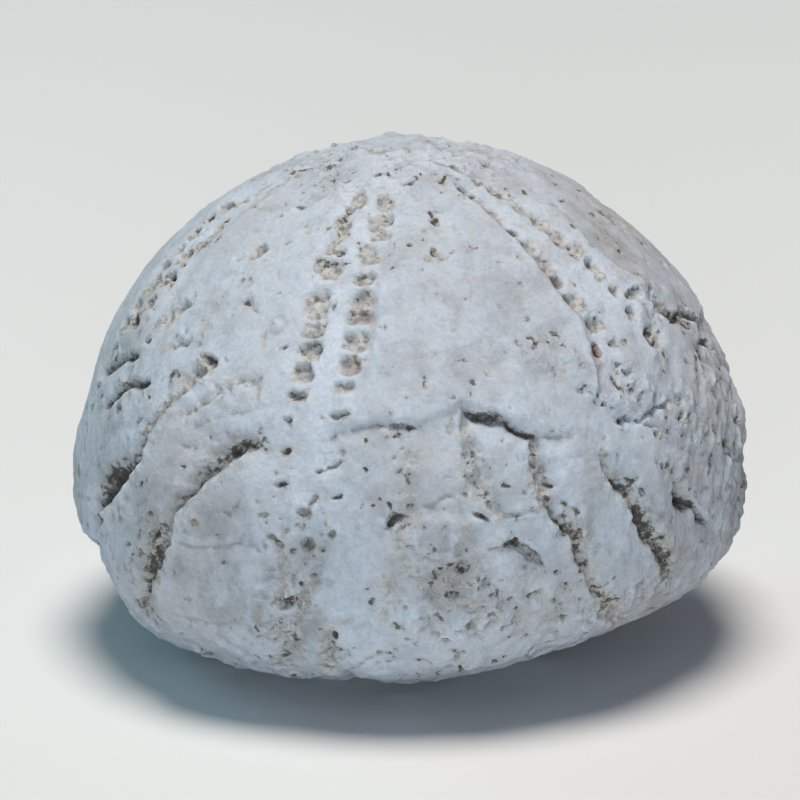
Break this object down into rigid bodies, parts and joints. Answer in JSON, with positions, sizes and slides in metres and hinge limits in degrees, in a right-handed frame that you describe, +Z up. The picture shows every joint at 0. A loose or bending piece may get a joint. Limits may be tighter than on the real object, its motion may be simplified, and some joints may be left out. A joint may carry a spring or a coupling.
{
  "type": "fossil sea urchin",
  "caption": "Pale domed fossil sea urchin stone with rows of shallow pits running down from its top, grooved lower sides and a small flat base.",
  "frame": {"origin": "on the surface that the stone rests on, under the middle of the stone's bounding box", "axes": "+Z up from the base towards the top of the dome, -Y the front, where the foremost band of pits runs down"},
  "size_m": [0.0416, 0.0436, 0.0312],
  "materials": {
    "fossil_stone": "matt, slightly chalky, with brown sediment in the pits and grooves"
  },
  "bodies": {
    "root": {"sea_urchin_stone": "fossil_stone"}
  },
  "joints": []
}
